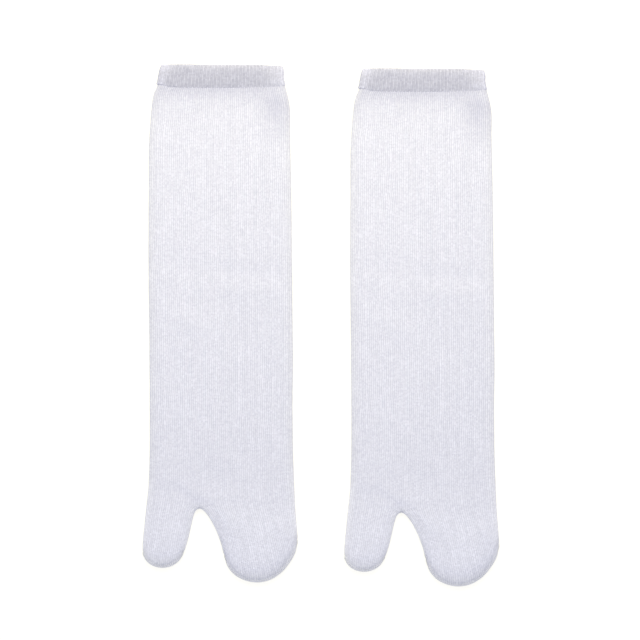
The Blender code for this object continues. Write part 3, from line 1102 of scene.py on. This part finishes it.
# %% Rings round the cuff
RIB_HEIGHT = 0.4
PURL_DEPTH = 0.16  # the inside shows the ribs faintly
RIM_SLOPE_RUN, RIM_SLOPE = 4.5, 1.3
END_SLOPE_RUN, END_SLOPE = 5.0, 0.5  # what the rim's slope gains at the cuff's ends
RIGHT_END_SLOPES = 2.0  # the right end gains so many times as much
UNDERSIDE_TURN = 1.5  # how fast the ribs fade where the ring turns under
LIP_SLOPE_RUN, LIP_SLOPE = 6.0, 0.6
RIM_ROLL = 0.5  # the rim rolls over more from the middle to the right
ROLL_FROM, ROLL_TO = -26.0, -6.0
LIP_BOW_MIDDLE, LIP_BOW_ENDS = 0.4, -2.1
LIP_BOW_CENTRE, LIP_BOW_POWER = 1.5, 5
RIM_DROOP = 0.6  # the rim's right end has slipped down a little
DROOP_FROM, DROOP_TO = 22.0, 40.0
RIM_LIFT = 0.3  # and its left part stands a little higher
LIFT_FROM, LIFT_TO = 8.0, 22.0
HALF_CUFF = 42.0


def lip_bow(across):
    """How much lower than the cuff's height its lip lies."""
    to_end = np.abs(across - LIP_BOW_CENTRE) / HALF_CUFF
    return LIP_BOW_MIDDLE + (LIP_BOW_ENDS - LIP_BOW_MIDDLE) * to_end**LIP_BOW_POWER


def cuff_ring(along, depth, count):
    """A ring round the flattened cuff, and the direction out of the cloth at each point."""
    left = half_width("left", along) - depth
    right = half_width("right", along) - depth
    radius = CUFF_LEVEL / 2.0 - depth
    straight = left + right - 2.0 * radius
    bend = math.pi * radius
    walked = 2.0 * (straight + bend) * np.arange(count) / count
    over_top = np.clip(walked, 0.0, straight)
    round_right = np.clip(walked - straight, 0.0, bend)
    under = np.clip(walked - straight - bend, 0.0, straight)
    round_left = np.clip(walked - 2.0 * straight - bend, 0.0, bend)
    angle = math.pi / 2.0 - (round_right + round_left) / radius
    level = np.full(count, CUFF_LEVEL / 2.0)
    middle = np.stack([over_top - under - left + radius, np.full(count, along), level], axis=1)
    out = np.stack([np.cos(angle), np.zeros(count), np.sin(angle)], axis=1)
    return middle + radius * out, out


print("mm round the cuff's rim:", 2.0 * (half_width("left", 0.0) + half_width("right", 0.0)))


# %% Make the cuff
def make_cuff(name):
    columns = np.arange(2 * WALES_PER_PANEL * PER_WALE)
    wales = columns / PER_WALE
    rib = RIB_HEIGHT * (0.5 + 0.5 * np.cos(math.pi * (wales - 0.5)))
    rings = []
    for along, depth, outside in section:
        ring, out = cuff_ring(along, depth, len(columns))
        droop = smooth_step(ring[:, 0], DROOP_FROM, DROOP_TO)
        underneath = smooth_step(-UNDERSIDE_TURN * out[:, 2]) * RIB_HEIGHT
        raised = outside * (rib - underneath) - (1.0 - outside) * PURL_DEPTH * rib / RIB_HEIGHT
        ring = ring + out * raised[:, None]
        across = ring[:, 0]
        at_ends = RIGHT_END_SLOPES * droop + smooth_step(-across, DROOP_FROM, DROOP_TO)
        to_rim = held(1.0 - along / (RIM_SLOPE_RUN + END_SLOPE_RUN * at_ends))
        to_lip = held(1.0 - (CUFF_HEIGHT - along) / LIP_SLOPE_RUN)
        roll = RIM_ROLL * smooth_step(across, ROLL_FROM, ROLL_TO)
        drop = (RIM_SLOPE + roll + END_SLOPE * at_ends) * to_rim**2 + LIP_SLOPE * to_lip**2
        ring[:, 2] -= drop * smooth_step(ring[:, 2] / CUFF_LEVEL)
        lift = smooth_step(-across, LIFT_FROM, LIFT_TO)
        ring[:, 1] += (RIM_DROOP * droop - RIM_LIFT * lift) * (1.0 - along / CUFF_HEIGHT)
        ring[:, 1] += lip_bow(across) * along / CUFF_HEIGHT
        rings.append(ring)
    cloth = Cloth()
    ids = cloth.add_points(in_space(np.array(rings)), 0.0)
    courses = np.append(section[:, 0], section[0, 0])
    cloth.add_rings(np.concatenate([ids, ids[:1]]), wales, courses, 1.0 / PER_WALE, False)
    return cloth.to_object(name, rib_cotton)


cuff = make_cuff("left_sock_rib")
print("cuff faces:", len(cuff.data.polygons))

# %% [markdown]
# ## The knitted tube
# The outside has four points to a stitch column and a row every two millimetres or so,
# closer at the split and at the toes. The inside, which shows only through the mouth,
# needs one point to a column. The top of the tube runs a little way up inside the cuff's
# wall, drawn in so that it stays hidden there.

# %% Where the rows lie
BODY_WALL = 1.3
TUCK, HALF_TUCK = 3.4, 1.6  # how far the tube's first two rows reach up into the cuff
TUCKED_ROWS = (CUFF_HEIGHT - TUCK, CUFF_HEIGHT - HALF_TUCK)
TUCK_STARTS = 0.2  # past the cuff's lip
TUCK_NARROWS, TUCK_REACH = 0.5, 30.0  # drawn in fully this far from the centre line
TUCK_FLATTENS = 0.18
OUTER_ROWS, OUTER_POCKET_ROWS = 113, 26
INNER_ROWS, INNER_POCKET_ROWS = 31, 12
SEAM_ROWS = 1.0 - np.arange(0.01, 0.08, 0.01)  # shares of a pocket, beside its toe seam
SEAM_GROOVE, GROOVE_AT, GROOVE_BREADTH = 0.28, 2.2, 0.6
ROWS_GATHER_OVER, GATHER_POWER = 14.0, 1.5
GATHERED_ROWS = 8


def leg_stations(crotch_along, count):
    """Where the leg's rows lie: evenly spaced, but closer where they come to the split."""
    gather_from = crotch_along - ROWS_GATHER_OVER
    evenly = count - len(TUCKED_ROWS) - GATHERED_ROWS
    even = np.linspace(CUFF_HEIGHT, gather_from, evenly)
    left = 1.0 - np.arange(1, GATHERED_ROWS + 1) / GATHERED_ROWS
    closer = crotch_along - ROWS_GATHER_OVER * left**GATHER_POWER
    return np.concatenate([TUCKED_ROWS, even, closer])


def tucked(points):
    """Draws the tube's top in a little, so that it stays hidden inside the cuff's wall."""
    lip = CUFF_HEIGHT + lip_bow(points[..., 0])
    drawn = smooth_step(lip - TUCK_STARTS - points[..., 1])
    inner = points.copy()
    inner[..., 0] -= TUCK_NARROWS * drawn * np.clip(points[..., 0] / TUCK_REACH, -1.0, 1.0)
    inner[..., 2] += TUCK_FLATTENS * drawn * (CUFF_LEVEL / 2.0 - points[..., 2])
    return inner


print("rows down the leg:", len(leg_stations(CROTCH.along, OUTER_ROWS)))


# %% Rings of the tube
def ring_order(first, last, girth):
    """Column numbers once round a pocket: along the upper panel, back along the lower."""
    return np.concatenate([np.arange(first, last + 1), girth - np.arange(last - 1, first, -1)])


def closed_rings(upper, lower):
    """The upper panel's rows, then the lower panel's back, without its two edge points."""
    return np.concatenate([upper, lower[:, -2:0:-1]], axis=1)


def seam_groove(points, arc):
    """The fine furrow that runs beside a toe seam."""
    plan = in_space(points)[..., :2]
    away = distance_from(edge_paths()[arc], plan)
    return -SEAM_GROOVE * np.exp(-(((away - GROOVE_AT) / GROOVE_BREADTH) ** 2))


def strip_panels(plan, wales, inset, kink, per_wale):
    """A strip's rows on the upper and the lower panel, with their columns spaced and bent."""
    panels = [lifted(plan, panel, inset) for panel in ("upper", "lower")]
    return [bent(spaced_wales(rows, *wales, per_wale), kink) for rows in panels]


# %% One wall of the tube
def add_wall(cloth, inset, rows, pocket_rows, per_wale):
    """Adds the outside or the inside of the tube, and gives back the mouth's points."""
    outside = inset == 0.0
    crotch_along = edge_paths(inset)["wide toe inner edge"][0][1]
    stations = leg_stations(crotch_along, rows)
    shares = gathered(pocket_rows)
    if outside:
        shares = np.union1d(shares, SEAM_ROWS)
    strips = {}
    for name, plan in strips_of_panel(inset, stations, shares).items():
        strips[name] = strip_panels(plan, STRIP_WALES[name], inset, rows - 1, per_wale)

    panels = []
    for big, wide in zip(strips["big toe"], strips["wide toe"]):
        panels.append(np.concatenate([big[:rows, :-1], wide[:rows]], axis=1))
    leg = in_space(tucked(closed_rings(*panels)))
    girth = leg.shape[1]
    columns = np.arange(girth)
    leg_ids = cloth.add_points(leg, cloth_relief(leg, columns) if outside else 0.0)
    split = BIG_TOE_WALES * per_wale
    leg_ids[-1, girth - split] = leg_ids[-1, split]
    cloth.add_rings(leg_ids, columns / per_wale, stations, 1.0 / per_wale, outside)

    for name, tip_along in (("big toe", BIG_TOE_TIP), ("wide toe", WIDE_TOE_TIP)):
        first, last = [wale * per_wale for wale in STRIP_WALES[name]]
        order = ring_order(first, last, girth)
        rings = in_space(closed_rings(*[panel[rows:] for panel in strips[name]]))
        heights = np.zeros(rings.shape[:-1])
        if outside:
            heights += cloth_relief(rings, order) + seam_groove(rings, name + " arc")
        heights[-1] = 0.0
        ids = np.concatenate([leg_ids[-1:, order], cloth.add_points(rings, heights)])
        width = last - first
        ids[-1, width + 1 :] = ids[-1, width - 1 : 0 : -1]
        courses = stations[-1] + shares * (tip_along - crotch_along)
        cloth.add_rings(ids, order / per_wale, courses, 1.0 / per_wale, outside)
    return leg_ids[0]


# %% Make the tube
def make_tube(name):
    cloth = Cloth()
    outer = add_wall(cloth, 0.0, OUTER_ROWS, OUTER_POCKET_ROWS, PER_WALE)
    inner = add_wall(cloth, BODY_WALL, INNER_ROWS, INNER_POCKET_ROWS, 1)
    course = TUCKED_ROWS[0]
    for wale in range(2 * WALES_PER_PANEL):
        rim = [outer[(wale * PER_WALE + i) % len(outer)] for i in range(PER_WALE + 1)]
        after = inner[(wale + 1) % len(inner)]
        places = [(wale + i / PER_WALE, course) for i in range(PER_WALE + 1)]
        cloth.add_face(rim + [after, inner[wale]], places + [(wale + 1, course), (wale, course)])
    return cloth.to_object(name, knit_cotton)


tube = make_tube("left_sock_knit")
print("tube faces:", len(tube.data.polygons))

# %% [markdown]
# ## The linked toe seams
# A sock machine leaves each toe pocket open, and a linking machine closes it with a thread
# that goes round the edge of both panels, once for every stitch column. Here the thread is
# one curve per pocket with a round bevel, wound round the edge by a sine.

# %% Make the seams
SEAM_THREAD = 0.29  # half the thread's thickness
SEAM_BITE = 0.3  # by this share of it the thread's middle lies inside the cloth's edge
SEAM_REACH = 1.25  # how far a turn of thread reaches over the cloth
SEAM_ENDS = 5.0  # over this length the seam runs out at each end
SEAM_PITCH = 1.33
POINTS_PER_LOOP = 12


def seam_thread(arc):
    """Points of the thread that winds round the joined edges along an arc."""
    loops = round(lengths_along(arc)[-1] / SEAM_PITCH)
    shares = np.linspace(0.0, 1.0, loops * POINTS_PER_LOOP + 1)
    line = walk(arc, shares)
    wave = np.sin(2.0 * math.pi * shares * loops)
    to_end = np.minimum(shares, 1.0 - shares) * lengths_along(arc)[-1]
    full = smooth_step(to_end / SEAM_ENDS)
    inside = SEAM_REACH * np.abs(wave) * full
    sunk = SEAM_THREAD * (1.0 + SEAM_BITE - full)
    plan = line + inwards(line) * (inside + sunk)[:, None]
    above = upper_height(plan, inside) + SEAM_THREAD * (full - 1.0 + SEAM_BITE)
    underneath = EDGE_LEVEL * (1.0 - round_rise(inside / UNDERSIDE_RUN))
    height = np.where(wave > 0.0, above, np.maximum(underneath, SEAM_THREAD))
    return np.concatenate([plan, height[:, None]], axis=1)


def make_seams(name, material):
    curve = bpy.data.curves.new(name, "CURVE")
    curve.dimensions = "3D"
    curve.bevel_depth = SEAM_THREAD * MM
    curve.bevel_resolution = 1
    curve.use_fill_caps = True
    for arc in ("big toe arc", "wide toe arc"):
        points = in_space(seam_thread(edge_paths()[arc])) * MM
        spline = curve.splines.new("POLY")
        spline.points.add(len(points) - 1)
        spline.points.foreach_set("co", np.insert(points, 3, 1.0, axis=1).ravel())
    thread = bpy.data.objects.new("linking thread", curve)
    mesh = bpy.data.meshes.new_from_object(thread)
    bpy.data.objects.remove(thread)
    mesh.name = name
    mesh.materials.append(material)
    mesh.shade_smooth()
    return show(name, mesh)


# %% The thread's cotton, and the seams
THREAD = {"Roughness": 0.85, "Specular IOR Level": 0.25, "Sheen Weight": 0.2}
THREAD_COLOUR = (0.80, 0.80, 0.83, 1.0)
THREAD_SHADE = (0.66, 0.66, 0.69, 1.0)
THREAD_FLECK_SIZE = 1500.0
THREAD_BUMP, THREAD_BUMP_STRENGTH = 0.1, 0.4


def make_thread_cotton():
    material, tree, shader = new_material("linking_thread", THREAD)
    yarn = use_group(tree, yarn_group, {"Fleck Size": THREAD_FLECK_SIZE})
    colour = mix_colour(tree, yarn["Fleck"], THREAD_COLOUR, THREAD_SHADE)
    tree.links.new(colour, shader.inputs["Base Color"])
    add_bump(tree, shader, yarn["Fleck"], THREAD_BUMP_STRENGTH, THREAD_BUMP)
    return material


seams = make_seams("left_sock_toe_seams", make_thread_cotton())
print("seam faces:", len(seams.data.polygons))

# %% [markdown]
# ## Place both socks
# The two socks are the same piece of knitting, so the second one shares the first one's
# meshes. Each piece stands for its plain solid and rides on the part's one body.

# %% Place the pair and hide their solids
CENTRE_LINE_PITCH = 132.2
RIGHT_SOCK_LOWER_BY = 2.6
PAIR_SHIFT = 0.6  # the wide pockets' side reaches less far than the big toes' side
NODES = {"knit": ("body", "knit_body"), "rib": ("cuff", "rib_cuff")}

left_pieces = {"knit": tube, "rib": cuff, "toe_seams": seams}
for side, sign, drop in (("left", -1, 0.0), ("right", 1, RIGHT_SOCK_LOWER_BY)):
    pieces = left_pieces
    if side == "right":
        pieces = {kind: show(f"right_sock_{kind}", p.data) for kind, p in left_pieces.items()}
    across = (sign * CENTRE_LINE_PITCH / 2.0 + PAIR_SHIFT) * MM
    for kind, piece in pieces.items():
        piece.location = (across, cad_box[1].y - drop * MM, 0.0)
        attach(piece, "root")
        if kind in NODES:
            node, slot = NODES[kind]
            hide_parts(f"{side}_sock_{node}")
    print(side, "sock lies at", [round(x / MM, 1) for x in piece.location], "mm")

# %% [markdown]
# ## The floor and the light
# White things are often shown on a light table, a pale sheet lit softly from below, so
# that hardly a shadow shows round them. Here the floor gives off a little light of its
# own, more than it reflects. One large soft lamp, a little warm, stands beyond the cuffs,
# so the cloth grows darker towards the toes, and an even sky, a little cool, fills the rest.

# %% The floor
FLOOR_SIZE = 40.0
FLOOR_BELOW = 0.1 * MM  # so that the cloth and the floor don't share a plane
half = FLOOR_SIZE / 2.0
corners = [(-half, -half, 0.0), (half, -half, 0.0), (half, half, 0.0), (-half, half, 0.0)]
floor_mesh = bpy.data.meshes.new("floor")
floor_mesh.from_pydata(corners, [], [(0, 1, 2, 3)])
floor = show("floor", floor_mesh)
floor.location.z = -FLOOR_BELOW

PAPER = {
    "Roughness": 0.9,
    "Specular IOR Level": 0.1,
    "Emission Color": (1.0, 0.985, 0.90, 1.0),
    "Emission Strength": 0.63,
}
PALE, PALER = (0.48, 0.475, 0.45, 1.0), (0.52, 0.515, 0.49, 1.0)
paper, paper_tree, paper_shader = new_material("pale_floor", PAPER)
fibres = paper_tree.nodes.new("ShaderNodeTexNoise")
fibres.inputs["Scale"].default_value = 3.0
paper_colour = mix_colour(paper_tree, fibres.outputs["Fac"], PALE, PALER)
paper_tree.links.new(paper_colour, paper_shader.inputs["Base Color"])
floor_mesh.materials.append(paper)

# %% The sky and the lamp
SKY_COLOUR, SKY_STRENGTH = (0.975, 1.0, 1.135, 1.0), 0.79
LAMP_COLOUR, LAMP_WATTS = (1.065, 1.0, 0.72), 3.2
LAMP_ACROSS, LAMP_DEEP = 0.7, 0.4
LAMP_PLACE, LAMP_TILT = (0.0, 0.5, 0.5), math.radians(-45.0)
world = bpy.data.worlds.new("studio")
scene.world = world
world.use_nodes = True
sky = world.node_tree.nodes["Background"]
sky.inputs["Color"].default_value = SKY_COLOUR
sky.inputs["Strength"].default_value = SKY_STRENGTH

lamp_data = bpy.data.lights.new("lamp", "AREA")
lamp_data.shape = "RECTANGLE"
lamp_data.size = LAMP_ACROSS
lamp_data.size_y = LAMP_DEEP
lamp_data.energy = LAMP_WATTS
lamp_data.color = LAMP_COLOUR
lamp = show("lamp", lamp_data)
lamp.location = LAMP_PLACE
lamp.rotation_euler = (LAMP_TILT, 0.0, 0.0)
scene.view_settings.view_transform = "Standard"
print("lamp:", LAMP_WATTS, "W, sky strength:", SKY_STRENGTH)
